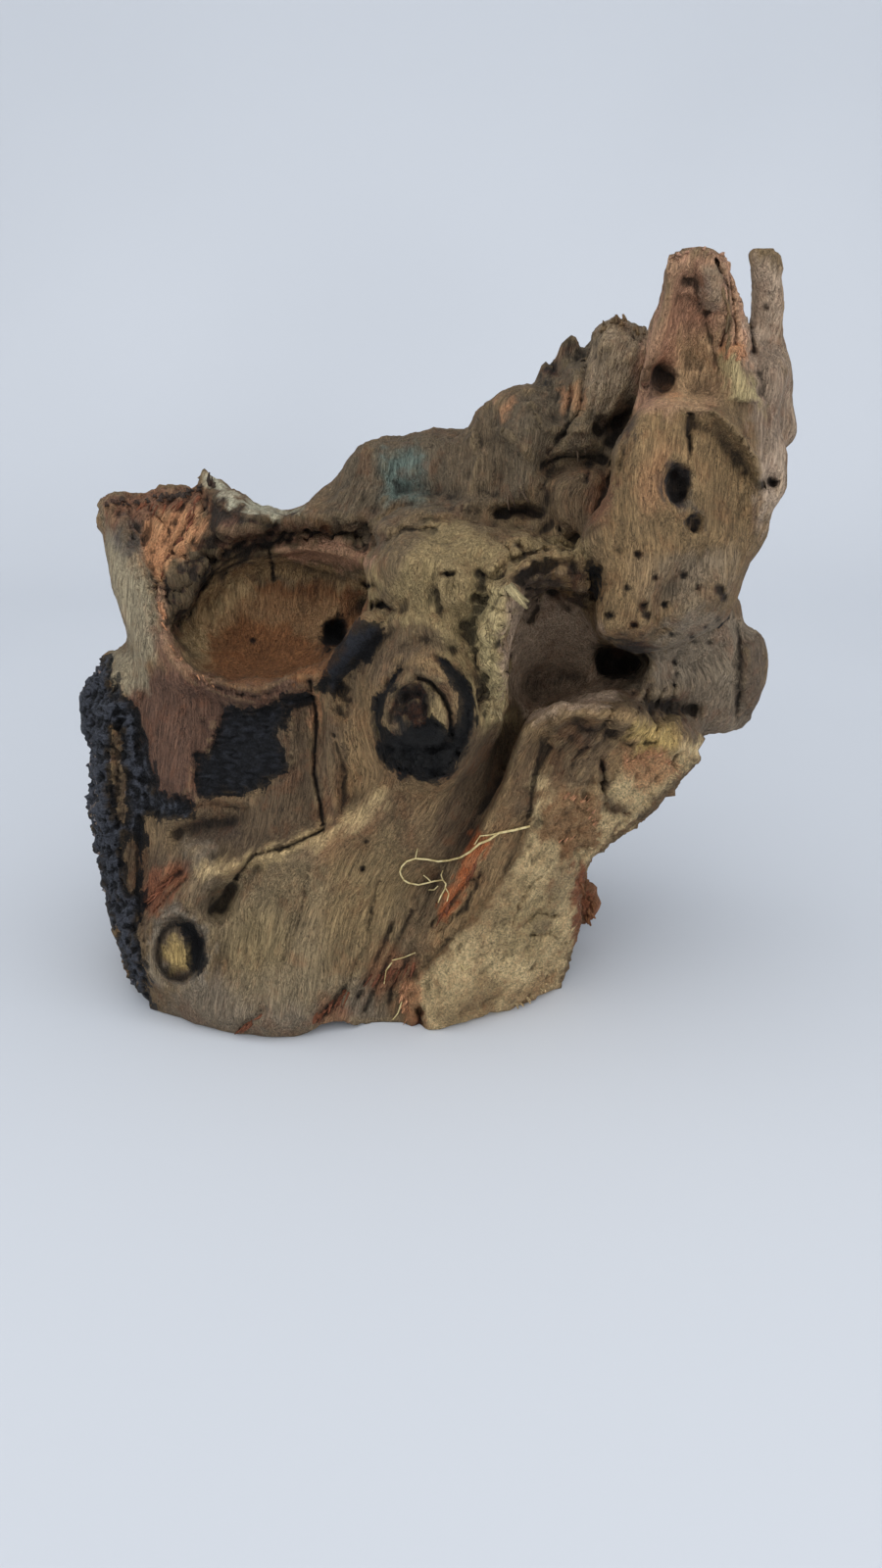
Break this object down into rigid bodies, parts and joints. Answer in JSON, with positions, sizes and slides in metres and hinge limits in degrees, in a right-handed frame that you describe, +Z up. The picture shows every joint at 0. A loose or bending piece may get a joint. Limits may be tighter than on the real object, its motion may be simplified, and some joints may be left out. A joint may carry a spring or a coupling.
{
  "type": "piece of driftwood",
  "caption": "Gnarled, weathered root burl with a deep bowl, a cave, knots, a mask-like lobe and a splintered crown, standing on low feet.",
  "frame": {"origin": "middle of the bounding box at the base, on the surface that the piece stands on", "axes": "+Z up, the front with the bowl and the great knot faces -Y, +X to the right of the front, towards the horn"},
  "size_m": [0.2462, 0.1256, 0.2336],
  "materials": {
    "driftwood": "weathered, matte"
  },
  "bodies": {
    "root": {"driftwood": "driftwood"}
  },
  "joints": []
}
